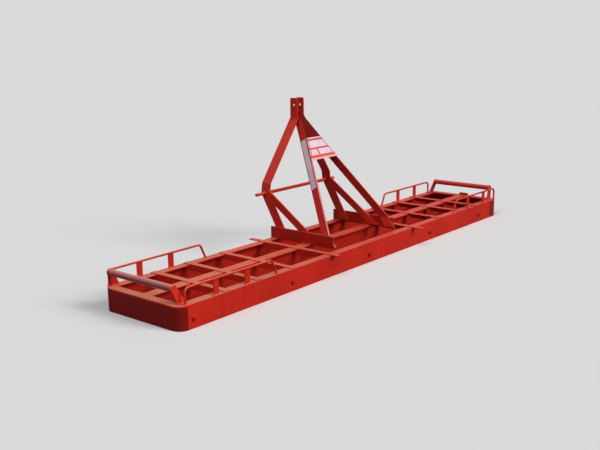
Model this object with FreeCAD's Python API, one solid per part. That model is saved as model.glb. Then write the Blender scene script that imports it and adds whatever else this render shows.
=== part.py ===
import FreeCAD, Part

import math
import os

# Land leveler: a long open ring of steel plate that is dragged over the soil, with a three-point
# hitch mast for the tractor, a round bar over each end and four light rails along the sides.
# Millimetres. X runs along the machine's width of work, +X to the tractor driver's right.
# +Y is the direction of travel, +Z is up, and the ground is z = 0.

V = FreeCAD.Vector

# Ring: vertical skirt plates with a top flange turned inwards, rounded at the four corners
RING_LENGTH = 3660.0
RING_WIDTH = 640.0
RING_HEIGHT = 140.0
PLATE = 8.0
FLANGE_WIDTH = 60.0
CORNER_INNER_R = 2.0

# Replaceable strip bolted inside the rear skirt
WEAR_STRIP_HEIGHT = 100.0
WEAR_STRIP_PLATE = 10.0
WEAR_STRIP_END_GAP = 60.0

# Centre blade: a full-depth plate under a flat top flange, like a long T
BEAM_WIDTH = 75.0
BLADE_CLEARANCE = 6.0

# Light cross angles, laid over the ring and the beam, and the two long bearers under the mast
ANGLE_LEG = 40.0
ANGLE_WALL = 6.0
CROSS_OUTER_INSET = 370.0
CROSS_MIDDLE_INSET = 640.0
CROSS_INNER_INSET = 950.0
BEARER_X = 490.0
BEARER_FRONT_OVERHANG = 82.0
BEARER_REAR_OVERHANG_LEFT = 48.0
BEARER_REAR_OVERHANG_RIGHT = 79.0

# Mast: base bars on edge, front legs, braces and rear stays of flat bar, lapped face to face
BASE_BAR_X = 363.0
BASE_BAR_WALL = 12.0
BASE_BAR_HEIGHT = 82.0
BASE_BAR_REAR_Y = -225.0
FLAT_WALL = 12.0
LAP_START = 12.0

SHAFT_Y = 385.0
SHAFT_Z = 448.0
SHAFT_R = 12.0
SHAFT_SHOULDER = 3.0
PIN_R = 11.0
PIN_REACH = 445.0
PIN_CHAMFER = 2.0
WELD_GAP = 0.2

LEG_DEPTH = 74.0
LEG_SET_BACK = 6.0
LEG_FOOT_Y = 250.0
KNEE_RISE = 70.0
KNEE_LEAN = 11.0
BRACE_DEPTH = 50.0
BRACE_FOOT_Y = 38.0
BRACE_TOP_DROP = 10.0
STAY_DEPTH = 73.0
STAY_TURN_DEG = 10.0
STAY_FOOT_Y = -153.0
STAY_BEND_X = 58.0
STAY_BEND_Z = 840.0
STAY_EARS_X = 14.0
STAY_APEX_Y = 395.0
STAY_APEX_Z = 1005.0

# Top link ears, a pair of upright plates with one hole through both
EAR_GAP = 55.0
EAR_WALL = 12.0
EAR_DEPTH = 62.0
EAR_Y = 373.0
EAR_BOTTOM_Z = 945.0
EAR_HEIGHT = 147.0
EAR_HOLE_R = 9.75
EAR_HOLE_DROP = 50.0
EAR_CORNER_R = 10.0

# Sheet between the rear stays, and the blank sign on it
SHEET_WALL = 3.0
SHEET_BOTTOM_Z = 677.0
SHEET_TOP_DROP = 5.0
SIGN_WALL = 2.0
SIGN_TOP_Z = 819.0

# Round bars over the ends, each between two posts of flat bar that lean outwards
END_BAR_R = 20.0
END_BAR_WALL = 3.0
END_BAR_FRONT_GAP = 50.0
END_BAR_REAR_GAP = 66.0
END_BAR_RISE = 90.0
END_BAR_LEAN = 45.0
POST_FOOT_WIDTH = 56.0
POST_SPLAY = 14.0
POST_WALL = 10.0
POST_INSET = 66.0

# Rod rails along the sides, each on two flat uprights, bent and fitted by hand
ROD_R = 7.0
ROD_RISE = 94.0
ROD_EDGE_INSET = 15.0
ROD_OUTER_BEND_R = 32.0
ROD_INNER_BEND_R = 32.0
RAIL_INNER_SLANT = 45.0
UPRIGHT_WIDTH = 42.0
UPRIGHT_WALL = 6.0

# From the ring's end, for each rail: its outer foot, its two uprights and its inner foot
RAIL_PLACES = {
    "front_left": (34.0, 261.0, 508.0, 803.0),
    "front_right": (96.0, 324.0, 585.0, 833.0),
    "rear_left": (58.0, 290.0, 542.0, 800.0),
    "rear_right": (34.0, 226.0, 494.0, 728.0),
}

# Places that follow from the sizes above
half_length = RING_LENGTH / 2
half_width = RING_WIDTH / 2
top = RING_HEIGHT
corner_r = FLANGE_WIDTH + CORNER_INNER_R
beam_side = BEAM_WIDTH / 2
front_reach = half_width + BEARER_FRONT_OVERHANG
rear_reach_left = half_width + BEARER_REAR_OVERHANG_LEFT
rear_reach_right = half_width + BEARER_REAR_OVERHANG_RIGHT
rear_reach = max(rear_reach_left, rear_reach_right)
leg_centre_y = SHAFT_Y - LEG_SET_BACK
leg_reach = leg_centre_y + LEG_DEPTH / 2
centre_y = (max(front_reach, leg_reach) - rear_reach) / 2
base_top = top + BASE_BAR_HEIGHT
lap_x = BASE_BAR_X - BASE_BAR_WALL / 2 - FLAT_WALL / 2
shoulder_x = lap_x + FLAT_WALL / 2 + SHAFT_SHOULDER
ear_x = EAR_GAP / 2 + EAR_WALL / 2
ear_back = EAR_Y - EAR_DEPTH / 2
ear_front = EAR_Y + EAR_DEPTH / 2
ear_top = EAR_BOTTOM_Z + EAR_HEIGHT
ear_hole_z = ear_top - EAR_HOLE_DROP
knee_z = SHAFT_Z + KNEE_RISE
stay_slope = (STAY_APEX_Y - STAY_FOOT_Y) / (STAY_APEX_Z - base_top)
stay_turn = math.radians(STAY_TURN_DEG)
stay_across = STAY_DEPTH / 2 * math.sin(stay_turn)
stay_along = STAY_DEPTH / 2 * math.cos(stay_turn)
stay_back = stay_along + FLAT_WALL / 2 * math.sin(stay_turn)
stay_side = stay_across + FLAT_WALL / 2 * math.cos(stay_turn)
stay_meeting_x = FLAT_WALL / 2 + WELD_GAP
end_bar_front = half_width - END_BAR_FRONT_GAP
end_bar_rear = -half_width + END_BAR_REAR_GAP


def save(name, shape):
    """Writes one piece, with the middle of the whole machine at y = 0."""
    placed = shape.copy()
    placed.translate(V(0, -centre_y, 0))
    placed.exportStep("parts/" + name + ".step")


def block(x0, x1, y0, y1, z0, z1):
    return Part.makeBox(x1 - x0, y1 - y0, z1 - z0, V(x0, y0, z0))


def outline(points, push):
    """A flat outline, given corner by corner, pushed into a solid."""
    wire = Part.makePolygon(points + [points[0]])
    return Part.Face(wire).extrude(push)


def fused(shapes):
    whole = shapes[0]
    if len(shapes) > 1:
        whole = whole.multiFuse(shapes[1:])
    return whole.removeSplitter()


def mirror_x(shape):
    return shape.mirror(V(0, 0, 0), V(1, 0, 0))


def mirror_y(shape):
    return shape.mirror(V(0, 0, 0), V(0, 1, 0))


def save_pair(name, shape):
    """The piece as drawn is the right one; the left one mirrors it."""
    save(name + "_right", shape)
    save(name + "_left", mirror_x(shape))


def save_four(name, shape):
    """The piece as drawn is the front right one."""
    save_pair(name + "_front", shape)
    save_pair(name + "_rear", mirror_y(shape))


def bent_flat(stations, depth, wall, turn=0.0):
    """A flat bar through level sections on the stations, wide along Y or turned from it."""
    across = V(math.cos(turn), math.sin(turn), 0) * (wall / 2)
    along = V(-math.sin(turn), math.cos(turn), 0) * (depth / 2)
    runs = []
    for low, high in zip(stations[:-1], stations[1:]):
        corners = [low - across - along, low + across - along, low + across + along, low - across + along]
        runs.append(outline(corners, high - low))
    return fused(runs)


# Ring
def skirt_profile(reach, along):
    """The section of the ring, a plate with its flange turned in: reach is outwards."""
    inner = reach - PLATE
    edge = reach - FLANGE_WIDTH
    pairs = [(reach, 0), (reach, top), (edge, top), (edge, top - PLATE), (inner, top - PLATE), (inner, 0)]
    return [along(out, z) for out, z in pairs]


def make_ring():
    straight_x = half_length - corner_r
    straight_y = half_width - corner_r
    front = outline(skirt_profile(half_width, lambda out, z: V(-straight_x, out, z)), V(2 * straight_x, 0, 0))
    save("skirt_front", front)
    save("skirt_rear", mirror_y(front))
    right = outline(skirt_profile(half_length, lambda out, z: V(out, -straight_y, z)), V(0, 2 * straight_y, 0))
    save_pair("skirt", right)
    start = outline_face(skirt_profile(half_length, lambda out, z: V(out, straight_y, z)))
    corner = start.revolve(V(straight_x, straight_y, 0), V(0, 0, 1), 90)
    save_four("corner", corner)
    strip_x = straight_x - WEAR_STRIP_END_GAP
    strip_y = -half_width + PLATE
    save("wear_strip", block(-strip_x, strip_x, strip_y, strip_y + WEAR_STRIP_PLATE, 0, WEAR_STRIP_HEIGHT))


def outline_face(points):
    return Part.Face(Part.makePolygon(points + [points[0]]))


def make_blade():
    """The blade hangs between the end skirts, its flange between their flanges."""
    flange_end = half_length - FLANGE_WIDTH
    blade_end = half_length - PLATE
    flange = block(-flange_end, flange_end, -beam_side, beam_side, top - PLATE, top)
    blade = block(-blade_end, blade_end, -PLATE / 2, PLATE / 2, BLADE_CLEARANCE, top - PLATE)
    save("centre_blade", fused([flange, blade]))


def cross_angle(x, y_rear, y_front):
    """An angle bar laid over the ring: its upright leg hangs between flanges and beam."""
    x0 = x - ANGLE_LEG / 2
    x1 = x + ANGLE_LEG / 2
    flat = block(x0, x1, y_rear, y_front, top, top + ANGLE_WALL)
    flange_edge = half_width - FLANGE_WIDTH
    foot = top + ANGLE_WALL - ANGLE_LEG
    front_leg = block(x1 - ANGLE_WALL, x1, beam_side, flange_edge, foot, top)
    rear_leg = block(x1 - ANGLE_WALL, x1, -flange_edge, -beam_side, foot, top)
    return fused([flat, front_leg, rear_leg])


def make_cross_angles():
    insets = (("outer", CROSS_OUTER_INSET), ("middle", CROSS_MIDDLE_INSET), ("inner", CROSS_INNER_INSET))
    for place, inset in insets:
        angle = cross_angle(half_length - inset, -half_width + PLATE, half_width - PLATE)
        save_pair("cross_angle_" + place, angle)
    save("mast_bearer_right", cross_angle(BEARER_X, -rear_reach_right, front_reach))
    save("mast_bearer_left", mirror_x(cross_angle(BEARER_X, -rear_reach_left, front_reach)))


# Mast
def base_bar():
    x0 = BASE_BAR_X - BASE_BAR_WALL / 2
    return block(x0, x0 + BASE_BAR_WALL, BASE_BAR_REAR_Y, half_width, top, base_top)


def make_base_bars():
    save_pair("base_bar", base_bar())


def shaft_cylinder(radius, reach):
    return Part.makeCylinder(radius, 2 * reach, V(-reach, SHAFT_Y, SHAFT_Z), V(1, 0, 0))


def leg_y(z):
    """Where the middle of a front leg is, below its knee, at the height z."""
    slope = (leg_centre_y - LEG_FOOT_Y) / (SHAFT_Z - base_top)
    return leg_centre_y + (z - SHAFT_Z) * slope


def make_front_legs():
    lap_z = top + LAP_START
    stations = [
        V(lap_x, leg_y(lap_z), lap_z),
        V(lap_x, leg_centre_y, SHAFT_Z),
        V(lap_x - KNEE_LEAN, leg_centre_y, knee_z),
        V(ear_x, EAR_Y, EAR_BOTTOM_Z),
    ]
    leg = bent_flat(stations, LEG_DEPTH, FLAT_WALL)
    save_pair("front_leg", leg.cut(shaft_cylinder(SHAFT_R + WELD_GAP, PIN_REACH)))


def make_shaft():
    """The shaft is turned down outside the mast, and its ends are the two lower hitch pins."""
    pins = shaft_cylinder(PIN_R, PIN_REACH)
    rims = [edge for edge in pins.Edges if len(edge.Vertexes) == 1]
    pins = pins.makeChamfer(PIN_CHAMFER, rims)
    save("hitch_shaft", fused([shaft_cylinder(SHAFT_R, shoulder_x), pins]))


def meet(p, p_way, q, q_way):
    """Where two lines of the Y-Z plane cross."""
    across = p_way.y * q_way.z - p_way.z * q_way.y
    share = ((q.y - p.y) * q_way.z - (q.z - p.z) * q_way.y) / across
    return p + p_way * share


def make_braces():
    """A brace runs from the back edge of the front leg down along the base bar."""
    leg_way = V(0, leg_centre_y - LEG_FOOT_Y, SHAFT_Z - base_top)
    leg_back = V(0, leg_centre_y - LEG_DEPTH / 2, SHAFT_Z)
    foot = V(0, BRACE_FOOT_Y, base_top)
    head = V(0, leg_centre_y - LEG_DEPTH / 2, SHAFT_Z - BRACE_TOP_DROP)
    way = head - foot
    way.normalize()
    side = V(0, -way.z, way.y) * (BRACE_DEPTH / 2)
    lap = V(0, 0, top + LAP_START)
    level = V(0, 1, 0)
    x0 = V(lap_x - FLAT_WALL / 2, 0, 0)
    corners = [
        meet(head + side, way, leg_back, leg_way),
        meet(head - side, way, leg_back, leg_way),
        meet(foot - side, way, lap, level),
        meet(foot + side, way, lap, level),
    ]
    save_pair("brace", outline([x0 + corner for corner in corners], V(FLAT_WALL, 0, 0)))


def stay_y(z):
    """Where the middle of a rear stay is at the height z."""
    return STAY_FOOT_Y + (z - base_top) * stay_slope


def stay_x(z):
    """Where a rear stay is across the machine: it leans in, and both meet between the ears."""
    heights = (base_top, STAY_BEND_Z, EAR_BOTTOM_Z, STAY_APEX_Z)
    places = (lap_x, STAY_BEND_X, STAY_EARS_X, stay_meeting_x)
    for low, high, x_low, x_high in zip(heights[:-1], heights[1:], places[:-1], places[1:]):
        if z <= high:
            return x_low + (x_high - x_low) * (z - low) / (high - low)
    return stay_meeting_x


def make_rear_stays():
    """The stays are turned a little towards each other, and cut where they meet and lap."""
    lap_z = top + LAP_START
    stations = [V(lap_x, stay_y(lap_z), lap_z)]
    for z in (base_top, STAY_BEND_Z, EAR_BOTTOM_Z, STAY_APEX_Z):
        stations.append(V(stay_x(z), stay_y(z), z))
    stay = bent_flat(stations, STAY_DEPTH, FLAT_WALL, stay_turn)
    beyond_middle = block(-BASE_BAR_X, WELD_GAP / 2, 0, 2 * SHAFT_Y, base_top, ear_top)
    ahead_of_ears = block(0, BASE_BAR_X, ear_front, ear_front + STAY_DEPTH, base_top, ear_top)
    stay = stay.cut(beyond_middle).cut(ahead_of_ears).cut(base_bar())
    save_pair("rear_stay", stay)


def make_ears():
    """Two upright plates, rounded at the top, that take the top link pin."""
    x0 = EAR_GAP / 2
    plate = block(x0, x0 + EAR_WALL, ear_back, ear_back + EAR_DEPTH, EAR_BOTTOM_Z, ear_top)
    crown = [e for e in plate.Edges if e.CenterOfMass.z > ear_top - 1 and e.Length < EAR_WALL + 1]
    plate = plate.makeFillet(EAR_CORNER_R, crown)
    hole = Part.makeCylinder(EAR_HOLE_R, EAR_WALL, V(x0, EAR_Y, ear_hole_z), V(1, 0, 0))
    save_pair("link_ear", plate.cut(hole))


def stay_back_sheet(heights, lift, wall):
    """A thin plate over the back edges of both rear stays, up through the given heights."""
    rising = [V(stay_x(z) + stay_side, stay_y(z) - stay_back - lift - wall, z) for z in heights]
    falling = [V(-corner.x, corner.y, corner.z) for corner in reversed(rising)]
    return outline(rising + falling, V(0, wall, 0))


def make_sheet_and_sign():
    sheet_top_z = STAY_APEX_Z - SHEET_TOP_DROP
    sheet_heights = [SHEET_BOTTOM_Z, STAY_BEND_Z, EAR_BOTTOM_Z, sheet_top_z]
    save("stay_sheet", stay_back_sheet(sheet_heights, 0, SHEET_WALL))
    save("sign_board", stay_back_sheet([SHEET_BOTTOM_Z, SIGN_TOP_Z], SHEET_WALL, SIGN_WALL))


# Bars and rails on the ring
def make_end_bars():
    """A pipe across the end, between two leaning posts that taper up to its size."""
    foot_x = half_length - POST_INSET
    axis_x = foot_x + END_BAR_LEAN
    axis_z = top + END_BAR_RISE
    length = end_bar_front - end_bar_rear
    start = V(axis_x, end_bar_rear, axis_z)
    pipe = Part.makeCylinder(END_BAR_R, length, start, V(0, 1, 0))
    bore = Part.makeCylinder(END_BAR_R - END_BAR_WALL, length, start, V(0, 1, 0))
    save_pair("end_bar", pipe.cut(bore))
    way = V(END_BAR_LEAN, 0, END_BAR_RISE)
    way.normalize()
    side = V(way.z, 0, -way.x) * END_BAR_R
    half_foot = V(POST_FOOT_WIDTH / 2, 0, 0)
    for place, y, outwards in (("front", end_bar_front, 1), ("rear", end_bar_rear, -1)):
        wall = V(0, outwards * POST_WALL, 0)
        foot = V(foot_x, y + outwards * POST_SPLAY, top)
        axis = V(axis_x, y, axis_z)
        low = [foot - half_foot, foot + half_foot, foot + half_foot + wall, foot - half_foot + wall]
        high = [axis - side, axis + side, axis + side + wall, axis - side + wall]
        rings = [Part.makePolygon(corners + [corners[0]]) for corners in (low, high)]
        shaft = Part.makeLoft(rings, True, True)
        head = Part.makeCylinder(END_BAR_R, POST_WALL, axis, wall)
        save_pair("end_post_" + place, fused([shaft, head]))


def rounded_path(points, radii):
    """Straight runs through the points, with a tangent arc at each corner between them."""
    edges = []
    start = points[0]
    for before, corner, after, radius in zip(points[:-2], points[1:-1], points[2:], radii):
        back = before - corner
        ahead = after - corner
        back.normalize()
        ahead.normalize()
        half_turn = back.getAngle(ahead) / 2
        reach = radius / math.tan(half_turn)
        middle = back + ahead
        middle.normalize()
        crest = corner + middle * (radius / math.sin(half_turn) - radius)
        arc_start = corner + back * reach
        arc_end = corner + ahead * reach
        edges.append(Part.makeLine(start, arc_start))
        edges.append(Part.Arc(arc_start, crest, arc_end).toShape())
        start = arc_end
    edges.append(Part.makeLine(start, points[-1]))
    return Part.Wire(edges)


def side_rail(outer_inset, first_inset, second_inset, inner_inset):
    """A rod bent down at both ends, carried by two flat uprights, all standing on the flange."""
    rod_y = half_width - ROD_EDGE_INSET
    rod_z = top + ROD_RISE
    outer_x = half_length - outer_inset
    inner_x = half_length - inner_inset
    below = ROD_R
    slant_below = RAIL_INNER_SLANT * below / ROD_RISE
    points = [
        V(outer_x, rod_y, top - below),
        V(outer_x, rod_y, rod_z),
        V(inner_x + RAIL_INNER_SLANT, rod_y, rod_z),
        V(inner_x - slant_below, rod_y, top - below),
    ]
    path = rounded_path(points, (ROD_OUTER_BEND_R, ROD_INNER_BEND_R))
    section = Part.Wire(Part.makeCircle(ROD_R, points[0], V(0, 0, 1)))
    rod = path.makePipeShell([section], True, False)
    clear = 4 * ROD_R
    above_flange = block(inner_x - clear, outer_x + clear, rod_y - clear, rod_y + clear, top, rod_z + clear)
    pieces = [rod.common(above_flange)]
    y0 = rod_y - UPRIGHT_WALL / 2
    for inset in (first_inset, second_inset):
        x0 = half_length - inset - UPRIGHT_WIDTH / 2
        pieces.append(block(x0, x0 + UPRIGHT_WIDTH, y0, y0 + UPRIGHT_WALL, top, rod_z))
    return fused(pieces)


def make_side_rails():
    """Each rail is drawn at the front right and mirrored to its own corner."""
    for corner, insets in RAIL_PLACES.items():
        rail = side_rail(*insets)
        if corner.startswith("rear"):
            rail = mirror_y(rail)
        if corner.endswith("left"):
            rail = mirror_x(rail)
        save("side_rail_" + corner, rail)


os.makedirs("parts", exist_ok=True)
make_ring()
make_blade()
make_cross_angles()
make_base_bars()
make_front_legs()
make_shaft()
make_braces()
make_rear_stays()
make_ears()
make_sheet_and_sign()
make_end_bars()
make_side_rails()
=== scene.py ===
# %% [markdown]
# # Dressing a land leveler
# A land leveler is a long open ring of steel plate that a tractor drags over a field to smooth it.
# The solids of the machine are already made. This lesson gives them paint, dust, wear, weld beads
# and bolts, and sets up a plain studio around them. Each step first says what the real thing is.

import math

import bmesh
import bpy
from mathutils import Matrix, Vector


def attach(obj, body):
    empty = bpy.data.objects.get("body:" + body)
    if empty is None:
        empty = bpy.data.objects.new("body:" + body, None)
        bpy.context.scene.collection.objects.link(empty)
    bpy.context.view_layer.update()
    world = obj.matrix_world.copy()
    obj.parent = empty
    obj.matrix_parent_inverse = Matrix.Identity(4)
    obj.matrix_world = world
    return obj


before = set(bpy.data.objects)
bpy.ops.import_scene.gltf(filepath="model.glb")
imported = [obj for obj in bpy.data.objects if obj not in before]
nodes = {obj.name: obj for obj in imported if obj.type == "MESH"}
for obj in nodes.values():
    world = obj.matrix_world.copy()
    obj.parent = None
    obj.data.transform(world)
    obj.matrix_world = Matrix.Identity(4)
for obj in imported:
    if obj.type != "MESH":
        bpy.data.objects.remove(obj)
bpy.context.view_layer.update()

# %% [markdown]
# ## Small helpers
# An operator works on whatever is selected, so each new piece starts from an empty selection.
# A finished piece sits at the origin with its place in its mesh, as the solids do, so that
# patterns on object coordinates run on over pieces that are side by side.

# %% Helpers for selecting and finishing
MM = 0.001
MIDDLE_Y = -8.5 * MM
RING_TOP = 140 * MM
HALF_LENGTH = 1830 * MM
HALF_WIDTH = 320 * MM


def select_only(*objects):
    if bpy.context.object and bpy.context.object.mode != "OBJECT":
        bpy.ops.object.mode_set(mode="OBJECT")
    bpy.ops.object.select_all(action="DESELECT")
    for item in objects:
        item.select_set(True)
    bpy.context.view_layer.objects.active = objects[0] if objects else None


def name_new(name):
    piece = bpy.context.object
    piece.name = name
    piece.data.name = name
    return piece


def settle(piece):
    """Puts the piece's place, turn and scale into its mesh."""
    select_only(piece)
    bpy.ops.object.transform_apply(location=True, rotation=True, scale=True)


def pick_faces(piece, wanted):
    """In edit mode: selects the faces for which wanted(face) is true."""
    bpy.ops.mesh.select_all(action="DESELECT")
    mesh = bmesh.from_edit_mesh(piece.data)
    for face in mesh.faces:
        face.select_set(bool(wanted(face)))
    bmesh.update_edit_mesh(piece.data)


def finish_piece(piece, material):
    """Gives a new piece its finish and the body that it moves with."""
    settle(piece)
    piece.data.materials.clear()
    piece.data.materials.append(material)
    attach(piece, "root")


print("ring in mm:", [round(2 * edge / MM) for edge in (HALF_LENGTH, HALF_WIDTH)])

# %% [markdown]
# ## Camera
# The photograph looks down on the machine from its rear left, from about as high as a person's
# eyes. The place, turn and lens were worked out from the edges that are parallel on the machine.

# %% Camera
CAMERA_PLACE = (-4.628, -3.472, 1.545)
CAMERA_YAW = math.radians(50.44)
CAMERA_PITCH = math.radians(13.03)
CAMERA_ROLL = math.radians(-0.73)
SENSOR_WIDTH = 36.0
PICTURE_WIDTH = 600
FOCAL_LENGTH_PIXELS = 830.75
LENS = FOCAL_LENGTH_PIXELS / PICTURE_WIDTH * SENSOR_WIDTH

bpy.ops.object.camera_add(location=CAMERA_PLACE)
camera = bpy.context.object
camera.name = "camera"
aim = Matrix.Rotation(-CAMERA_YAW, 3, "Z") @ Matrix.Rotation(math.pi / 2 - CAMERA_PITCH, 3, "X")
camera.rotation_euler = (aim @ Matrix.Rotation(CAMERA_ROLL, 3, "Z")).to_euler()
camera.data.sensor_width = SENSOR_WIDTH
camera.data.lens = LENS
camera.data.clip_end = 300
bpy.context.scene.camera = camera
print("lens in mm:", round(LENS, 1))

# %% [markdown]
# ## Studio
# The machine stands on a plain pale floor. A wide sun lamp behind it gives soft shadows, a weaker
# one high on the left brings out the mast, and the world lights the rest evenly. The floor's
# colour is worked out from the lamps, so that far off it is as light as the background and no
# horizon shows. Light that the floor throws back is held down, as on dark ground.

# %% World
BACKGROUND = 0.70
AMBIENT = 0.20
AMBIENT_COLOUR = (0.93, 0.96, 1.0)


def node_tools(tree):
    """Short ways to add a node and to join two sockets in one shader tree."""
    def add(kind, **values):
        made = tree.nodes.new(kind)
        for key, value in values.items():
            setattr(made, key, value)
        return made

    return add, tree.links.new


world = bpy.context.scene.world or bpy.data.worlds.new("studio")
bpy.context.scene.world = world
world.use_nodes = True
world.node_tree.nodes.clear()
add, join = node_tools(world.node_tree)
path = add("ShaderNodeLightPath")
seen = add("ShaderNodeMath", operation="MAXIMUM")
shown = add("ShaderNodeMath", operation="MAXIMUM")
join(path.outputs["Is Camera Ray"], seen.inputs[0])
join(path.outputs["Is Glossy Ray"], seen.inputs[1])
join(seen.outputs[0], shown.inputs[0])
join(path.outputs["Is Transmission Ray"], shown.inputs[1])
ambient = add("ShaderNodeBackground")
ambient.inputs["Color"].default_value = (*AMBIENT_COLOUR, 1)
ambient.inputs["Strength"].default_value = AMBIENT
backdrop = add("ShaderNodeBackground")
backdrop.inputs["Color"].default_value = (BACKGROUND, BACKGROUND, BACKGROUND, 1)
mixed = add("ShaderNodeMixShader")
join(shown.outputs[0], mixed.inputs[0])
join(ambient.outputs[0], mixed.inputs[1])
join(backdrop.outputs[0], mixed.inputs[2])
out = add("ShaderNodeOutputWorld")
join(mixed.outputs[0], out.inputs[0])
print("world nodes:", len(world.node_tree.nodes))

# %% Lamps


def sun(name, toward, strength, angle_deg, colour=(1, 1, 1)):
    """A sun lamp that shines from the direction `toward`, seen from the machine."""
    bpy.ops.object.light_add(type="SUN", location=Vector(toward) * 10)
    lamp = bpy.context.object
    lamp.name = name
    lamp.rotation_euler = Vector(toward).to_track_quat("Z", "Y").to_euler()
    lamp.data.energy = strength
    lamp.data.angle = math.radians(angle_deg)
    lamp.data.color = colour
    return lamp


lamps = [
    sun("key_sun", (0.22, -0.80, 0.56), 2.75, 30, (1.0, 0.97, 0.93)),
    sun("left_fill", (-0.52, -0.10, 0.85), 1.65, 40),
]
print("lamps:", [lamp.name for lamp in lamps])

# %% Floor
FLOOR_SIZE = 240
THROWN_BACK = 0.25


def light_on_floor(channel):
    """What a white matt floor would show, far from the machine."""
    total = AMBIENT * AMBIENT_COLOUR[channel]
    for lamp in lamps:
        lamp_height = lamp.location.normalized().z
        total += lamp.data.energy * lamp.data.color[channel] * lamp_height / math.pi
    return total


floor_colour = [BACKGROUND / light_on_floor(channel) for channel in range(3)]

bpy.ops.mesh.primitive_plane_add(size=FLOOR_SIZE)
floor = name_new("floor")
floor_paint = bpy.data.materials.new("floor")
floor_paint.use_nodes = True
floor_paint.node_tree.nodes.clear()
add, join = node_tools(floor_paint.node_tree)
path = add("ShaderNodeLightPath")
floor_seen = add("ShaderNodeBsdfDiffuse")
floor_seen.inputs["Color"].default_value = (*floor_colour, 1)
floor_thrown = add("ShaderNodeBsdfDiffuse")
thrown_colour = [THROWN_BACK * channel for channel in floor_colour]
floor_thrown.inputs["Color"].default_value = (*thrown_colour, 1)
either = add("ShaderNodeMixShader")
join(path.outputs["Is Camera Ray"], either.inputs[0])
join(floor_thrown.outputs[0], either.inputs[1])
join(floor_seen.outputs[0], either.inputs[2])
out = add("ShaderNodeOutputMaterial")
join(either.outputs[0], out.inputs[0])
floor.data.materials.append(floor_paint)
print("floor colour:", [round(channel, 3) for channel in floor_colour])

# %% [markdown]
# ## Effects that several finishes share
# Paint on farm steel is never one flat colour. Dust lies on what faces up, edges lose their paint
# first, rain leaves streaks, and the coat itself is thicker here and thinner there. A painted sheen
# on faces that look up and a painted shade inside the ring are masks too. Each effect is a node
# group that gives out a mask, and each finish decides how much of it to use.

# %% Tools for node groups


def new_group(name, inputs):
    """A shader node group with number inputs and one mask, returned with its tools and ends."""
    tree = bpy.data.node_groups.new(name, "ShaderNodeTree")
    for label, value in inputs.items():
        socket = tree.interface.new_socket(label, in_out="INPUT", socket_type="NodeSocketFloat")
        socket.default_value = value
    tree.interface.new_socket("Mask", in_out="OUTPUT", socket_type="NodeSocketFloat")
    add, join = node_tools(tree)
    return tree, add, join, add("NodeGroupInput"), add("NodeGroupOutput")


def ramp(add, join, value, low, high):
    """Maps value from low..high to 0..1."""
    made = add("ShaderNodeMapRange", clamp=True)
    join(value, made.inputs["Value"])
    made.inputs["From Min"].default_value = low
    made.inputs["From Max"].default_value = high
    return made.outputs["Result"]


def maths(add, join, operation, first, second):
    """One sum on two numbers or sockets; an ADD stops at 1, as a mask does."""
    made = add("ShaderNodeMath", operation=operation)
    made.use_clamp = operation == "ADD"
    for index, value in enumerate((first, second)):
        if isinstance(value, (int, float)):
            made.inputs[index].default_value = value
        else:
            join(value, made.inputs[index])
    return made.outputs[0]


def noise(add, join, scale, detail=4.0, stretch=(1, 1, 1), rough=0.5):
    """Noise on object coordinates, in metres, so scale is in waves to the metre."""
    place = add("ShaderNodeTexCoord")
    mapping = add("ShaderNodeMapping")
    mapping.inputs["Scale"].default_value = stretch
    join(place.outputs["Object"], mapping.inputs["Vector"])
    made = add("ShaderNodeTexNoise")
    made.inputs["Detail"].default_value = detail
    made.inputs["Roughness"].default_value = rough
    if isinstance(scale, (int, float)):
        made.inputs["Scale"].default_value = scale
    else:
        join(scale, made.inputs["Scale"])
    join(mapping.outputs[0], made.inputs["Vector"])
    return made.outputs["Fac"]


def along_axis(add, join, axis):
    """The object coordinate along one axis, in metres."""
    place = add("ShaderNodeTexCoord")
    split = add("ShaderNodeSeparateXYZ")
    join(place.outputs["Object"], split.inputs[0])
    return split.outputs[axis]


print("node groups so far:", len(bpy.data.node_groups))

# %% [markdown]
# ### Dust and painted sheen
# A tan red on faces that look up paints settled dust and the sheen of light on them together. The
# normal tells which way a face looks, and two noises break the cover into patches and grains. A
# mask painted by hand would need an unwrapped mesh first.

# %% Dust and painted sheen
LEAST_COVER_X, FULL_COVER_X = 0.2, -1.9
LEAST_COVER = 0.22


def build_dust_and_sheen():
    """Dust and painted sheen on what faces up: none on walls and undersides, patchy on top, less to
    the right.
    """
    tree, add, join, given, result = new_group("settled dust", {"Amount": 1.0, "Patch Scale": 6.0})
    leftward = ramp(add, join, along_axis(add, join, "X"), LEAST_COVER_X, FULL_COVER_X)
    leftward = maths(add, join, "MULTIPLY", leftward, 1 - LEAST_COVER)
    leftward = maths(add, join, "ADD", leftward, LEAST_COVER)
    facing = add("ShaderNodeNewGeometry")
    split = add("ShaderNodeSeparateXYZ")
    join(facing.outputs["Normal"], split.inputs[0])
    level = ramp(add, join, split.outputs["Z"], 0.35, 0.95)
    patches = ramp(add, join, noise(add, join, given.outputs["Patch Scale"]), 0.25, 0.62)
    grains = ramp(add, join, noise(add, join, 210, detail=2), 0.2, 0.65)
    cover = maths(add, join, "MULTIPLY", patches, 0.45)
    cover = maths(add, join, "ADD", cover, 0.55)
    grained = maths(add, join, "MULTIPLY", grains, 0.25)
    grained = maths(add, join, "ADD", grained, 0.75)
    mask = maths(add, join, "MULTIPLY", maths(add, join, "MULTIPLY", level, cover), grained)
    mask = maths(add, join, "MULTIPLY", mask, leftward)
    join(maths(add, join, "MULTIPLY", mask, given.outputs["Amount"]), result.inputs["Mask"])
    return tree


dust_and_sheen_group = build_dust_and_sheen()
print("made:", dust_and_sheen_group.name)

# %% [markdown]
# ### Worn edges
# Paint goes first along edges. The Bevel node's normal departs from the flat one only near an edge,
# so the two together find the edges of any mesh, with none marked by hand.

# %% Edge wear


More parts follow.
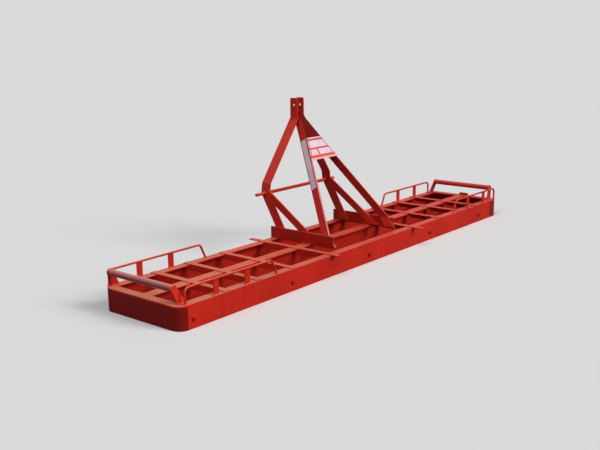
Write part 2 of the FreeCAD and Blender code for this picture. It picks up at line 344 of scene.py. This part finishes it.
def build_wear():
    """Paint lost along edges: the bevelled normal departs from the flat one only near an edge."""
    tree, add, join, given, result = new_group("edge wear", {"Radius": 0.004, "Amount": 1.0})
    rounded = add("ShaderNodeBevel", samples=6)
    join(given.outputs["Radius"], rounded.inputs["Radius"])
    flat = add("ShaderNodeNewGeometry")
    dot = add("ShaderNodeVectorMath", operation="DOT_PRODUCT")
    join(rounded.outputs[0], dot.inputs[0])
    join(flat.outputs["Normal"], dot.inputs[1])
    edge = maths(add, join, "SUBTRACT", 1.0, dot.outputs["Value"])
    near = ramp(add, join, edge, 0.015, 0.14)
    chips = ramp(add, join, noise(add, join, 55, detail=6, rough=0.65), 0.50, 0.62)
    mask = maths(add, join, "MULTIPLY", near, chips)
    join(maths(add, join, "MULTIPLY", mask, given.outputs["Amount"]), result.inputs["Mask"])
    return tree


wear_group = build_wear()
print("made:", wear_group.name)

# %% [markdown]
# ### Streaks
# Rain washes dirt down a wall in long thin streaks. A noise that is drawn out from top to bottom
# gives them, and a broader noise keeps them to some places.

# %% Run-off streaks


def build_streaks():
    """Run-off streaks and scuffs: noise drawn out from top to bottom, on walls only."""
    tree, add, join, given, result = new_group("run-off streaks", {"Amount": 1.0})
    facing = add("ShaderNodeNewGeometry")
    split = add("ShaderNodeSeparateXYZ")
    join(facing.outputs["Normal"], split.inputs[0])
    steep = maths(add, join, "SUBTRACT", 1.0, maths(add, join, "ABSOLUTE", split.outputs["Z"], 0))
    long_noise = noise(add, join, 1, detail=5, stretch=(26, 26, 2.2))
    broad = noise(add, join, 3.1, detail=3)
    streak = maths(add, join, "MULTIPLY", ramp(add, join, long_noise, 0.48, 0.75),
                   ramp(add, join, broad, 0.38, 0.66))
    mask = maths(add, join, "MULTIPLY", streak, steep)
    join(maths(add, join, "MULTIPLY", mask, given.outputs["Amount"]), result.inputs["Mask"])
    return tree


streak_group = build_streaks()
print("made:", streak_group.name)

# %% [markdown]
# ### Paint coat
# Sprayed paint lies thicker here and thinner there. One broad soft noise is enough, because the
# two reds that it blends are close.

# %% Paint coat


def build_coat():
    """How thick the paint lies: broad, gentle patches from 0 to 1."""
    tree, add, join, given, result = new_group("paint coat", {"Scale": 2.6})
    join(ramp(add, join, noise(add, join, given.outputs["Scale"], detail=5), 0.30, 0.70),
         result.inputs["Mask"])
    return tree


coat_group = build_coat()
print("made:", coat_group.name)

# %% [markdown]
# ### Painted shade
# A darker red paints the shade inside the ring, under its flanges, and round its two ends. The mask
# is worked out from where a point lies, because every piece keeps its place in its mesh. The ring's
# plate is 8 mm thick, so 7 mm in from its outer face only its inner face counts as inside.

# %% Painted shade
# The mask below paints shade with a darker red.
INSIDE_DEPTH = 7 * MM
SHADE_EDGE = 0.5 * MM
LEFT_CORNER_X = -1768 * MM
RIGHT_SHADE_X = (1.68, 1.72)
RIGHT_SHADE = 0.85
INNER_SHADE = 0.25
UNDER_FLANGE = RING_TOP - 8 * MM


def shade_step(add, join, value, limit):
    """1 below the limit and 0 above it, with a narrow edge."""
    return ramp(add, join, value, limit + SHADE_EDGE, limit - SHADE_EDGE)


def build_painted_shade():
    """Painted shade: a darker red inside the ring under its flanges, and round its two ends."""
    tree, add, join, given, result = new_group("soil stain", {"Amount": 1.0})
    along_x = along_axis(add, join, "X")
    across = maths(add, join, "ABSOLUTE", along_x, 0)
    from_middle = maths(add, join, "SUBTRACT", along_axis(add, join, "Y"), MIDDLE_Y)
    deep = maths(add, join, "ABSOLUTE", from_middle, 0)
    inside = maths(add, join, "MULTIPLY",
                   shade_step(add, join, across, HALF_LENGTH - INSIDE_DEPTH),
                   shade_step(add, join, deep, HALF_WIDTH - INSIDE_DEPTH))
    outside = maths(add, join, "SUBTRACT", 1.0, inside)
    left_end = shade_step(add, join, along_x, LEFT_CORNER_X)
    right_end = ramp(add, join, along_x, *RIGHT_SHADE_X)
    right_end = maths(add, join, "MULTIPLY", right_end, RIGHT_SHADE)
    right_end = maths(add, join, "MULTIPLY", right_end, outside)
    mask = maths(add, join, "MULTIPLY", inside, INNER_SHADE)
    mask = maths(add, join, "MAXIMUM", mask, maths(add, join, "MAXIMUM", left_end, right_end))
    low = shade_step(add, join, along_axis(add, join, "Z"), UNDER_FLANGE)
    mask = maths(add, join, "MULTIPLY", mask, low)
    join(maths(add, join, "MULTIPLY", mask, given.outputs["Amount"]), result.inputs["Mask"])
    return tree


painted_shade_group = build_painted_shade()
print("node groups:", len(bpy.data.node_groups))

# %% [markdown]
# ## Red paint
# The machine is sprayed orange-red after welding. The coat is glossy where it is clean, and chips
# along edges show a dark primer. The finish is one function, so that each part of the machine
# can have its own share of dust and painted sheen, wear, streaks and painted shade.

# %% Painted steel
THIN_RED, THICK_RED = (0.43, 0.012, 0.005), (0.57, 0.019, 0.008)
STREAKED_RED = (0.26, 0.009, 0.004)
# A darker red that paints shade.
PAINTED_SHADE_RED = (0.165, 0.0040, 0.0022)
# A tan red that paints dust and the sheen of light on faces that look up.
DUST_AND_SHEEN_RED = (0.53, 0.205, 0.125)
PRIMER = (0.22, 0.020, 0.014)
DUST_MATT, WEAR_MATT = 0.35, 0.2
PEEL_WAVES, BRUSH_WAVES = 420, 60
PEEL_SHARE = 0.35


def place_group(add, tree, **values):
    """Places an effect in a material with its own values, and returns its mask."""
    made = add("ShaderNodeGroup", node_tree=tree)
    for label, value in values.items():
        made.inputs[label.replace("_", " ")].default_value = value
    return made.outputs["Mask"]


def blend_colour(add, join, mask, first, second):
    """The colour first where mask is 0 and second where it is 1."""
    made = add("ShaderNodeMix", data_type="RGBA")
    join(mask, made.inputs[0])
    for index, value in ((6, first), (7, second)):
        if isinstance(value, tuple):
            made.inputs[index].default_value = (*value, 1)
        else:
            join(value, made.inputs[index])
    return made.outputs[2]


def painted_steel(name, thin=THIN_RED, thick=THICK_RED, dust_and_sheen=0.8, dust_and_sheen_colour=DUST_AND_SHEEN_RED,
                  wear=0.5, streaks=0.25, matt=0.42, painted_shade=0.0, shine=0.2, coat=0.0):
    """Red paint with its own share of dust and painted sheen, wear, streaks and painted shade, and
    its own clear coat.
    """
    material = bpy.data.materials.new(name)
    material.use_nodes = True
    material.node_tree.nodes.clear()
    add, join = node_tools(material.node_tree)
    colour = blend_colour(add, join, place_group(add, coat_group), thin, thick)
    streak_mask = place_group(add, streak_group, Amount=streaks)
    colour = blend_colour(add, join, streak_mask, colour, STREAKED_RED)
    # Painted shade inside the ring and round its ends.
    if painted_shade:
        painted_shade_mask = place_group(add, painted_shade_group, Amount=painted_shade)
        colour = blend_colour(add, join, painted_shade_mask, colour, PAINTED_SHADE_RED)
    # Dust and painted sheen on faces that look up.
    dust_and_sheen_mask = place_group(add, dust_and_sheen_group, Amount=dust_and_sheen)
    colour = blend_colour(add, join, dust_and_sheen_mask, colour, dust_and_sheen_colour)
    wear_mask = place_group(add, wear_group, Amount=wear)
    colour = blend_colour(add, join, wear_mask, colour, PRIMER)

    rough = maths(add, join, "MULTIPLY", dust_and_sheen_mask, DUST_MATT)
    rough = maths(add, join, "ADD", rough, matt)
    rough = maths(add, join, "ADD", rough, maths(add, join, "MULTIPLY", wear_mask, WEAR_MATT))

    peel = noise(add, join, PEEL_WAVES, detail=2)
    brushed = noise(add, join, BRUSH_WAVES, detail=4)
    height = maths(add, join, "ADD", maths(add, join, "MULTIPLY", peel, PEEL_SHARE),
                   maths(add, join, "MULTIPLY", brushed, 1 - PEEL_SHARE))
    height = maths(add, join, "SUBTRACT", height, maths(add, join, "MULTIPLY", wear_mask, 0.3))
    soft_edge = add("ShaderNodeBevel", samples=4)
    soft_edge.inputs["Radius"].default_value = 1.5 * MM
    bump = add("ShaderNodeBump")
    bump.inputs["Strength"].default_value = 0.25
    bump.inputs["Distance"].default_value = 0.0012
    join(height, bump.inputs["Height"])
    join(soft_edge.outputs[0], bump.inputs["Normal"])

    shader = add("ShaderNodeBsdfPrincipled")
    join(colour, shader.inputs["Base Color"])
    join(rough, shader.inputs["Roughness"])
    join(bump.outputs[0], shader.inputs["Normal"])
    shader.inputs["Specular IOR Level"].default_value = shine
    shader.inputs["Coat Weight"].default_value = coat
    shader.inputs["Coat Roughness"].default_value = 0.12
    out = add("ShaderNodeOutputMaterial")
    join(shader.outputs[0], out.inputs[0])
    return material


# %% Paints of the machine
frame_paint = painted_steel("frame paint", dust_and_sheen=0.95)
# The skirts and the blade get painted shade inside the ring and round its ends.
skirt_paint = painted_steel("skirt paint", dust_and_sheen=1.0, painted_shade=0.97)
blade_paint = painted_steel("blade paint", dust_and_sheen=0.95, painted_shade=0.9)
# The left end bar's dark red paints the shade on its round sides, and the pink on its top paints
# the highlight along it, with dust.
left_bar_paint = painted_steel(
    "left end bar paint", thin=(0.20, 0.006, 0.005), thick=(0.27, 0.009, 0.007), dust_and_sheen=0.85,
    dust_and_sheen_colour=(0.58, 0.16, 0.17), wear=0.3, streaks=0.1, matt=0.30, shine=0.4, coat=1.0)
# The salmon on the right end bar's top paints its highlight, with dust.
right_bar_paint = painted_steel("right end bar paint", dust_and_sheen=1.0, dust_and_sheen_colour=(0.75, 0.14, 0.12),
                                wear=0.3, streaks=0.1, matt=0.30, shine=0.3, coat=0.3)
post_paint = painted_steel("post paint", thick=(0.60, 0.024, 0.010))
mast_paint = painted_steel("mast paint", thick=(0.60, 0.026, 0.012), dust_and_sheen=0.7,
                           dust_and_sheen_colour=(0.60, 0.13, 0.085), wear=0.6)
# The pale pink on the left stay's faces that look up and back paints dust and the highlight on its
# lit rear edge.
stay_paint = painted_steel("left stay paint", dust_and_sheen=3.0, dust_and_sheen_colour=(0.74, 0.36, 0.35), wear=0.8)
bar_paint = painted_steel("base bar paint", thin=(0.34, 0.009, 0.003), thick=(0.44, 0.014, 0.005),
                          dust_and_sheen=0.8, wear=0.7, streaks=0.4)
# The stay sheet's dark red paints the shade that it lies in.
shade_paint = painted_steel("shaded sheet paint", thin=(0.11, 0.003, 0.002),
                            thick=(0.15, 0.005, 0.004), dust_and_sheen=0.1, wear=0.3, shine=0.02, matt=0.6)
print("materials so far:", len(bpy.data.materials))

# %% [markdown]
# ## Sign and strip
# The board on the mast is a printed plate: a white field with red bands and lines. Its pattern
# follows the board's height and its slanted sides, so it is worked out from object coordinates
# instead of being laid on as a picture. The strip on the left stay is a pale bare film, and the
# same finish without bands suits it.

# %% Sign finish
SIGN_LOW, SIGN_HIGH = 677 * MM, 819 * MM
SIGN_HALF_LOW, SIGN_HALF_HIGH = 147.5 * MM, 80.2 * MM
THIN_WHITE, THICK_WHITE = (0.50, 0.43, 0.50), (0.66, 0.57, 0.65)
BAND_RED = (0.56, 0.035, 0.022)
FOOT_ROSE = (0.80, 0.33, 0.27)
SCUFFED_WHITE = (0.42, 0.26, 0.26)
BARE_RIM = (0.30, 0.08, 0.06)


def band(add, join, value, low, high):
    """1 where value lies between low and high, in metres, with edges as sharp as print."""
    soft = 0.7 * MM
    rising = ramp(add, join, value, low - soft, low + soft)
    falling = ramp(add, join, value, high + soft, high - soft)
    return maths(add, join, "MULTIPLY", rising, falling)


def printed_plate(name, bands):
    """A matt white print, with the sign's red bands or bare."""
    material = bpy.data.materials.new(name)
    material.use_nodes = True
    material.node_tree.nodes.clear()
    add, join = node_tools(material.node_tree)
    coat_mask = place_group(add, coat_group, Scale=9.0)
    colour = blend_colour(add, join, coat_mask, THIN_WHITE, THICK_WHITE)
    if bands:
        height = along_axis(add, join, "Z")
        across = along_axis(add, join, "X")
        slope = (SIGN_HALF_HIGH - SIGN_HALF_LOW) / (SIGN_HIGH - SIGN_LOW)
        half = maths(add, join, "MULTIPLY", maths(add, join, "SUBTRACT", height, SIGN_LOW), slope)
        half = maths(add, join, "SUBTRACT", half, -SIGN_HALF_LOW)
        inwards = maths(add, join, "SUBTRACT", half, maths(add, join, "ABSOLUTE", across, 0))
        marks = [band(add, join, height, SIGN_LOW + 12 * MM, SIGN_LOW + 28 * MM),
                 band(add, join, height, SIGN_LOW + 65 * MM, SIGN_LOW + 77 * MM),
                 band(add, join, height, SIGN_HIGH - 21 * MM, SIGN_HIGH - 7 * MM),
                 band(add, join, inwards, 6 * MM, 16 * MM)]
        divider = band(add, join, across, -36 * MM, -20 * MM)
        lower_row = band(add, join, height, SIGN_LOW + 20 * MM, SIGN_LOW + 70 * MM)
        marks.append(maths(add, join, "MULTIPLY", divider, lower_row))
        printed = marks[0]
        for mark in marks[1:]:
            printed = maths(add, join, "MAXIMUM", printed, mark)
        colour = blend_colour(add, join, printed, colour, BAND_RED)
        foot = band(add, join, height, SIGN_LOW - 5 * MM, SIGN_LOW + 12 * MM)
        colour = blend_colour(add, join, foot, colour, FOOT_ROSE)
    scuffs = place_group(add, streak_group, Amount=0.35)
    colour = blend_colour(add, join, scuffs, colour, SCUFFED_WHITE)
    wear_mask = place_group(add, wear_group, Radius=0.002, Amount=0.5)
    colour = blend_colour(add, join, wear_mask, colour, BARE_RIM)
    grain = noise(add, join, 300, detail=2)
    rough = maths(add, join, "ADD", maths(add, join, "MULTIPLY", grain, 0.2), 0.30)
    bump = add("ShaderNodeBump")
    bump.inputs["Strength"].default_value = 0.12
    bump.inputs["Distance"].default_value = 0.0006
    join(grain, bump.inputs["Height"])
    shader = add("ShaderNodeBsdfPrincipled")
    join(colour, shader.inputs["Base Color"])
    join(rough, shader.inputs["Roughness"])
    join(bump.outputs[0], shader.inputs["Normal"])
    out = add("ShaderNodeOutputMaterial")
    join(shader.outputs[0], out.inputs[0])
    return material


sign_finish = printed_plate("sign finish", bands=True)
strip_finish = printed_plate("strip finish", bands=False)
print("made:", sign_finish.name, "and", strip_finish.name)

# %% [markdown]
# ## Finishes of the solids
# The shapes of the solids are right as they are, so each one only gets a finish. A table goes from
# the start of a solid's name to its paint, so that left and right, front and rear share one line.

# %% Give each solid its finish
finishes = (
    (("skirt", "corner", "wear_strip"), skirt_paint),
    (("centre_blade",), blade_paint),
    (("end_bar_left",), left_bar_paint),
    (("end_bar_right",), right_bar_paint),
    (("end_post", "hitch_shaft"), post_paint),
    (("stay_sheet",), shade_paint),
    (("base_bar",), bar_paint),
    (("rear_stay_left",), stay_paint),
    (("front_leg", "rear_stay_right", "brace", "link_ear"), mast_paint),
    (("sign_board",), sign_finish),
    (("cross_angle", "mast_bearer", "side_rail"), frame_paint),
)
for name, node in nodes.items():
    finish = next(paint for starts, paint in finishes if name.startswith(starts))
    node.data.materials.clear()
    node.data.materials.append(finish)
print("solids with a finish:", len(nodes))

# %% [markdown]
# ## Weld beads
# Every joint of the machine is welded. A weld bead is a row of small ripples, each a puddle of
# steel that froze on the one before. One flattened ball is repeated along the joint with an Array
# modifier, turned and set into the corner between the two plates, and the beads of one kind of
# joint become one piece.

# %% Bead helpers
weld_paint = painted_steel("weld paint", thin=(0.40, 0.014, 0.009), thick=(0.58, 0.040, 0.022),
                           dust_and_sheen=0.7, wear=0.9, streaks=0.1, matt=0.35, shine=0.4)
RIPPLE_STEP = 0.9
RING_RIPPLES = 36


def bead(start, end, radius=4.5):
    """A row of ripples from start to end, in millimetres from the ring's middle on the ground."""
    first = (Vector(start) * MM) + Vector((0, MIDDLE_Y, 0))
    run = (Vector(end) - Vector(start)) * MM
    radius = radius * MM
    count = max(2, round(run.length / (radius * RIPPLE_STEP)) + 1)
    bpy.ops.mesh.primitive_uv_sphere_add(segments=8, ring_count=5, radius=radius)
    piece = bpy.context.object
    bpy.ops.object.mode_set(mode="EDIT")
    bpy.ops.mesh.select_all(action="SELECT")
    bpy.ops.transform.resize(value=(0.85, 1.0, 1.0))
    bpy.ops.object.mode_set(mode="OBJECT")
    ripples = piece.modifiers.new("ripples", "ARRAY")
    ripples.use_relative_offset = False
    ripples.use_constant_offset = True
    ripples.constant_offset_displace = (run.length / (count - 1), 0, 0)
    ripples.count = count
    bpy.ops.object.modifier_apply(modifier="ripples")
    piece.rotation_euler = run.to_track_quat("X", "Z").to_euler()
    piece.location = first
    settle(piece)
    return piece


def ring_bead(centre, axis, ring_radius, radius=4.0):
    """A bead right round a bar that runs along the axis."""
    place = Vector(centre) * MM + Vector((0, MIDDLE_Y, 0))
    bpy.ops.mesh.primitive_torus_add(major_radius=ring_radius * MM, minor_radius=radius * MM,
                                     major_segments=RING_RIPPLES, minor_segments=8)
    piece = bpy.context.object
    bpy.ops.object.mode_set(mode="EDIT")
    mesh = bmesh.from_edit_mesh(piece.data)
    for vertex in mesh.verts:
        turn = math.atan2(vertex.co.y, vertex.co.x)
        vertex.select_set(round(turn / (2 * math.pi) * RING_RIPPLES) % 2 == 0)
    mesh.select_flush_mode()
    bmesh.update_edit_mesh(piece.data)
    bpy.ops.transform.resize(value=(1.05, 1.05, 1.2))
    bpy.ops.object.mode_set(mode="OBJECT")
    piece.rotation_euler = Vector(axis).to_track_quat("Z", "Y").to_euler()
    piece.location = place
    settle(piece)
    return piece


def gather(name, beads):
    """Joins beads to one piece, smooth but for the valleys between its ripples."""
    select_only(*beads)
    bpy.ops.object.join()
    piece = name_new(name)
    bpy.ops.object.shade_smooth_by_angle(angle=math.radians(50))
    finish_piece(piece, weld_paint)
    return piece


print("made:", weld_paint.name)

# %% [markdown]
# ## Beads on the ring
# Each cross angle is welded to both flanges and to the centre blade, along both of its edges. Each
# rail stands on two rods and two flat uprights, and each end bar on two posts. Their places are
# written as insets from the ring's end, because that is how such a machine is marked out.

# %% Beads on the cross angles
RING_END = round(HALF_LENGTH / MM)
DECK = round(RING_TOP / MM) + 1
ANGLE_INSETS = (370, 640, 950)
ANGLE_HALF, ANGLE_REACH, ANGLE_TIP = 20, 310, 312
BEARER_PLACE, BEARER_REACH = 490, 318
FLANGE_RIM = 262
BLADE_HALF = 36


def edge_beads(x, reach):
    """Beads along one edge of an angle: on both flanges, and across the centre blade."""
    made = [bead((x, side * reach, DECK), (x, side * FLANGE_RIM, DECK), 4) for side in (-1, 1)]
    return made + [bead((x, -BLADE_HALF, DECK), (x, BLADE_HALF, DECK), 4)]


angle_beads = []
for side in (-1, 1):
    for inset in ANGLE_INSETS:
        x = side * (RING_END - inset)
        for edge in (-ANGLE_HALF, ANGLE_HALF):
            angle_beads += edge_beads(x + edge, ANGLE_REACH)
        for y in (-ANGLE_TIP, ANGLE_TIP):
            angle_beads.append(bead((x - 18, y, DECK + 1), (x + 18, y, DECK + 1), 4))
    for edge in (-ANGLE_HALF, ANGLE_HALF):
        angle_beads += edge_beads(side * BEARER_PLACE + edge, BEARER_REACH)
gather("angle_welds", angle_beads)
print("beads on the cross angles:", len(angle_beads))

# %% Beads on the rails
RAIL_LINE, RAIL_UNDERSIDE = 305, 229
UPRIGHT_HALF, UPRIGHT_FACE = 20, 3
ROD_BEAD_RADIUS = 8
RAIL_UPRIGHTS = {
    (-1, 1): (261, 508), (1, 1): (324, 585), (-1, -1): (290, 542), (1, -1): (226, 494),
}
RAIL_FEET = {
    (-1, 1): (34, 803), (1, 1): (96, 833), (-1, -1): (58, 800), (1, -1): (34, 728),
}

rail_beads = []
for (side, reach), insets in RAIL_UPRIGHTS.items():
    for inset in insets:
        x = side * (RING_END - inset)
        for y in (reach * RAIL_LINE - UPRIGHT_FACE, reach * RAIL_LINE + UPRIGHT_FACE):
            for z, radius in ((DECK, 4), (RAIL_UNDERSIDE, 3)):
                start, end = (x - UPRIGHT_HALF, y, z), (x + UPRIGHT_HALF, y, z)
                rail_beads.append(bead(start, end, radius))
for (side, reach), insets in RAIL_FEET.items():
    for inset in insets:
        foot = (side * (RING_END - inset), reach * RAIL_LINE, DECK)
        rail_beads.append(ring_bead(foot, (0, 0, 1), ROD_BEAD_RADIUS, 3.5))
gather("rail_welds", rail_beads)
print("beads on the rails:", len(rail_beads))

# %% Beads on the end posts
END_BAR_X, END_BAR_Z, END_BAR_RADIUS = 1809, 230, 20
POST_X, POST_HALF = 1764, 28
POST_FACES = ((270, 1), (-254, -1))
POST_SPLAY, POST_THICKNESS = 14, 10

post_beads = []
for side in (-1, 1):
    for face, outward in POST_FACES:
        for spread in (POST_SPLAY, POST_SPLAY + POST_THICKNESS):
            y = face + outward * spread
            start = (side * POST_X - POST_HALF, y, DECK + 1)
            end = (side * POST_X + POST_HALF, y, DECK + 1)
            post_beads.append(bead(start, end, 5.5))
        bar_end = (side * END_BAR_X, face, END_BAR_Z)
        post_beads.append(ring_bead(bar_end, (0, 1, 0), END_BAR_RADIUS, 3.5))
gather("end_post_welds", post_beads)
print("beads on the end posts:", len(post_beads))

# %% [markdown]
# ## Beads on the mast
# The flat bars of the mast are lapped against the base bars and welded along their edges. A bead
# runs right round the shaft where it passes through each leg, and short beads hold the ears.

# %% Beads on the mast
BAR_FACES, BAR_TOP = (357, 369), 222
SHAFT_Y, SHAFT_Z, SHAFT_BEAD_RADIUS = 385, 448, 13
LEG_FACES, LEG_FOOT_Y, LEG_SHAFT_Y = (344, 358), 250, 379
STAY_FOOT_Y, STAY_TOP_Y, STAY_RISE = -153, 395, 783
EAR_FACES, EAR_FOOT = (25, 40), 950
leg_lean = (LEG_SHAFT_Y - LEG_FOOT_Y) / (SHAFT_Z - BAR_TOP)
stay_lean = (STAY_TOP_Y - STAY_FOOT_Y) / STAY_RISE


def both_sides(beads, start, end, radius=4.5):
    """The same bead on the left and on the right."""
    for side in (-1, 1):
        beads.append(bead((side * start[0], *start[1:]), (side * end[0], *end[1:]), radius))


mast_beads = []
for face in BAR_FACES:
    both_sides(mast_beads, (face, FLANGE_RIM, DECK), (face, BEARER_REACH, DECK))
    both_sides(mast_beads, (face, -BLADE_HALF, DECK), (face, BLADE_HALF, DECK))

leg_low, leg_high = 156, 220
for edge in (-37, 37):
    y = LEG_FOOT_Y + edge
    start = (BAR_FACES[0], y - (BAR_TOP - leg_low) * leg_lean, leg_low)
    both_sides(mast_beads, start, (BAR_FACES[0], y, leg_high), 4)

stay_low, stay_high = 160, 225
for edge in (-36, 36):
    y = STAY_FOOT_Y + edge
    start = (355, y + (stay_high - BAR_TOP) * stay_lean, stay_high)
    end = (355, y - (BAR_TOP - stay_low) * stay_lean, stay_low)
    both_sides(mast_beads, start, end, 4)

both_sides(mast_beads, (350, 342, 398), (350, 347, 446), 4)  # where a brace meets its leg
for face in LEG_FACES:
    for side in (-1, 1):
        shaft = (side * face, SHAFT_Y, SHAFT_Z)
        mast_beads.append(ring_bead(shaft, (1, 0, 0), SHAFT_BEAD_RADIUS, 4))
for face in EAR_FACES:
    both_sides(mast_beads, (face, 343, EAR_FOOT), (face, 403, EAR_FOOT), 4)
both_sides(mast_beads, (24, 400, EAR_FOOT), (20, 404, EAR_FOOT + 50), 3.5)  # ear to stay
gather("mast_welds", mast_beads)
print("beads on the mast:", len(mast_beads))

# %% [markdown]
# ## Bolts of the wear strip
# A row of bolts holds the wear strip inside the rear skirt: outside show a washer and a six-sided
# head, inside a washer, a nut and the bolt's end. Each is a low cylinder whose top is inset and
# whose rims are bevelled. One set for each side is stacked from them and copied along the row.

# %% Bolts and nuts
BOLT_PLACES = (-1730, -901, -83, 722, 1500)
BOLT_HEIGHT = 58 * MM
BOLT_TURN = 0.37
SKIRT_FACE = MIDDLE_Y - HALF_WIDTH
STRIP_FACE = MIDDLE_Y - 302 * MM

# Each disc: sides, radius, height, base, rim and dish, in millimetres.
WASHER = (28, 15, 2.5, 0, 1.0, 0.0)
BOLT_HEAD = (6, 13, 10, 2.5, 1.4, 0.8)
NUT = (6, 13, 12, 2.5, 1.4, 0.3)
BOLT_END = (20, 7.5, 6, 14.0, 0.8, 0.4)
bolt_paint = painted_steel("bolt paint", thin=(0.26, 0.009, 0.005), thick=(0.36, 0.013, 0.007),
                           dust_and_sheen=0.3, wear=0.5, streaks=0.3, matt=0.50, shine=0.15)


def turned_disc(sides, radius, height, base, rim, dish):
    """A disc or prism standing on z = base, with a bevelled rim and a slightly dished top."""
    bpy.ops.mesh.primitive_cylinder_add(vertices=sides, radius=radius * MM, depth=height * MM,
                                        location=(0, 0, (base + height / 2) * MM))
    piece = bpy.context.object
    bpy.ops.object.mode_set(mode="EDIT")
    top_z = height / 2 * MM
    pick_faces(piece, lambda face: face.normal.z > 0.9)
    bpy.ops.mesh.inset(thickness=rim * MM)
    pick_faces(piece, lambda face: (
        face.normal.z > 0.9 and face.calc_center_median().length < top_z + MM))
    bpy.ops.mesh.inset(thickness=0.25 * radius * MM)
    bpy.ops.transform.translate(value=(0, 0, -dish * MM))
    bpy.ops.object.mode_set(mode="OBJECT")
    rounding = piece.modifiers.new("rounding", "BEVEL")
    rounding.width = 0.8 * MM
    rounding.segments = 2
    rounding.limit_method = "ANGLE"
    rounding.angle_limit = math.radians(40)
    bpy.ops.object.modifier_apply(modifier="rounding")
    return piece


def bolt_stack(name, discs, turn):
    """Discs in one piece, turned from the vertical so that they stand on a wall."""
    parts = [turned_disc(*disc) for disc in discs]
    select_only(*parts)
    bpy.ops.object.join()
    stack = name_new(name)
    stack.rotation_euler = (turn, 0, 0)
    settle(stack)
    return stack


heads = bolt_stack("bolt_heads", [WASHER, BOLT_HEAD], math.pi / 2)
nuts = bolt_stack("strip_nuts", [WASHER, NUT, BOLT_END], -math.pi / 2)
print("one bolt head has", len(heads.data.polygons), "faces")

# %% The two rows
for stack, face in ((heads, SKIRT_FACE), (nuts, STRIP_FACE)):
    copies = []
    for number, x in enumerate(BOLT_PLACES):
        copy = stack.copy()
        copy.data = stack.data.copy()
        bpy.context.collection.objects.link(copy)
        copy.rotation_euler = (0, BOLT_TURN * number, 0)
        copy.location = (x * MM, face, BOLT_HEIGHT)
        copies.append(copy)
    name = stack.name
    bpy.data.objects.remove(stack)
    select_only(*copies)
    bpy.ops.object.join()
    row = name_new(name)
    bpy.ops.object.shade_smooth_by_angle(angle=math.radians(35))
    finish_piece(row, bolt_paint)
print("bolts:", len(BOLT_PLACES))

# %% [markdown]
# ## Strip on the left stay
# A pale bare film lies on the outer face of the left stay, under the sign. It is a thin plate cut
# from a plane, with softened rims, and it follows the stay, which leans in and is turned a little.

# %% Pale strip
STRIP_WIDTH, STRIP_THICKNESS = 44, 0.7
STRIP_LOW, STRIP_HIGH = 498, 800
STAY_FOOT_X, STAY_BEND_X, STAY_BEND_Z = 351, 58, 840
STAY_HALF_THICKNESS = 6
STAY_TURN = math.radians(10)


def stay_point(height):
    """The middle of the left stay's outer face, in millimetres from the ring's middle."""
    rise = height - BAR_TOP
    centre_x = STAY_FOOT_X + (STAY_BEND_X - STAY_FOOT_X) * rise / (STAY_BEND_Z - BAR_TOP)
    centre_y = STAY_FOOT_Y + rise * stay_lean
    return Vector((-centre_x - STAY_HALF_THICKNESS * math.cos(STAY_TURN),
                   centre_y + STAY_HALF_THICKNESS * math.sin(STAY_TURN), height))


low, high = stay_point(STRIP_LOW), stay_point(STRIP_HIGH)
upwards = (high - low).normalized()
across = Vector((math.sin(STAY_TURN), math.cos(STAY_TURN), 0))
outwards = upwards.cross(across).normalized()
if outwards.x > 0:
    outwards.negate()
sideways = upwards.cross(outwards)
middle = (low + high) / 2 * MM + Vector((0, MIDDLE_Y, 0)) + outwards * 0.3 * MM
bpy.ops.mesh.primitive_plane_add(size=1)
strip = name_new("stay_strip")
strip.scale = (STRIP_WIDTH * MM, (high - low).length * MM, 1)
settle(strip)
bpy.ops.object.mode_set(mode="EDIT")
bpy.ops.mesh.select_all(action="SELECT")
bpy.ops.mesh.subdivide(number_cuts=6)
bpy.ops.object.mode_set(mode="OBJECT")
film = strip.modifiers.new("film", "SOLIDIFY")
film.thickness = STRIP_THICKNESS * MM
film.offset = 1
rounding = strip.modifiers.new("rounding", "BEVEL")
rounding.width = 0.25 * MM
rounding.segments = 2
rounding.limit_method = "ANGLE"
for name in ("film", "rounding"):
    bpy.ops.object.modifier_apply(modifier=name)
facing = Matrix((sideways, upwards, outwards)).transposed().to_4x4()
strip.matrix_world = Matrix.Translation(middle) @ facing
finish_piece(strip, strip_finish)
print("strip length in mm:", round((high - low).length))

# %% [markdown]
# ## Lug at the blade's end
# A short upright plate stands on the right end flange, where the centre blade ends. It starts as a
# cube, its upper corners are bevelled round, and all its rims are softened.

# %% End lug
LUG_SIZE = (8, 84, 18)
LUG_PLACE = (1822, -6, 140)
LUG_CORNER = 9
LUG_RIM = 1.2

lug_middle = Vector(LUG_PLACE) + Vector((0, 0, LUG_SIZE[2] / 2))
bpy.ops.mesh.primitive_cube_add(size=1, location=lug_middle * MM + Vector((0, MIDDLE_Y, 0)))
lug = name_new("blade_end_lug")
lug.scale = [edge * MM for edge in LUG_SIZE]
settle(lug)
bpy.ops.object.mode_set(mode="EDIT")
bpy.ops.mesh.select_all(action="DESELECT")
mesh = bmesh.from_edit_mesh(lug.data)
for edge in mesh.edges:
    ends = [vertex.co for vertex in edge.verts]
    along = abs(ends[0].x - ends[1].x) > 4 * MM
    edge.select_set(along and min(ends[0].z, ends[1].z) > RING_TOP + 10 * MM)
bmesh.update_edit_mesh(lug.data)
bpy.ops.mesh.bevel(offset=LUG_CORNER * MM, segments=5)
bpy.ops.object.mode_set(mode="OBJECT")
rims = lug.modifiers.new("rims", "BEVEL")
rims.width = LUG_RIM * MM
rims.segments = 2
rims.limit_method = "ANGLE"
bpy.ops.object.modifier_apply(modifier="rims")
bpy.ops.object.shade_smooth_by_angle(angle=math.radians(35))
finish_piece(lug, post_paint)
print("lug faces:", len(lug.data.polygons))

# %% [markdown]
# ## View transform
# The render shows its colours through the Standard view, with no tone curve.

# %% View transform
bpy.context.scene.view_settings.view_transform = "Standard"
